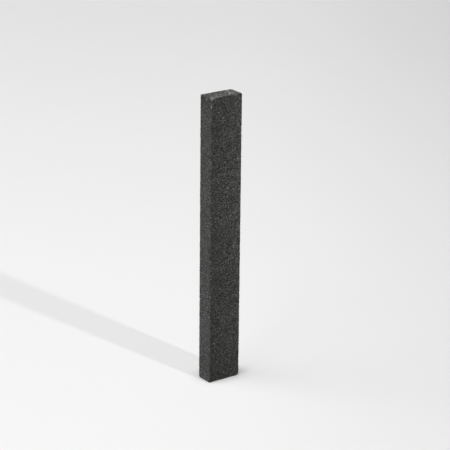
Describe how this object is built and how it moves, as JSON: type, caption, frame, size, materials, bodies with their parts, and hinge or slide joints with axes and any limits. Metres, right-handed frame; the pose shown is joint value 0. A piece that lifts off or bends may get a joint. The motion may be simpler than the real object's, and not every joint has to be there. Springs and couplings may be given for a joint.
{
  "type": "sharpening whetstone",
  "caption": "Straight rectangular whetstone stick of dark, coarse silicon carbide grit, for honing carving and whittling knives by hand.",
  "frame": {"origin": "middle of the end face that the stone stands on", "axes": "+Z along the stone's length, X across the broad honing faces, Y through the thickness"},
  "size_m": [0.0244, 0.0126, 0.2],
  "materials": {
    "silicon_carbide": "matte"
  },
  "bodies": {
    "root": {"whetstone": "silicon_carbide"}
  },
  "joints": []
}
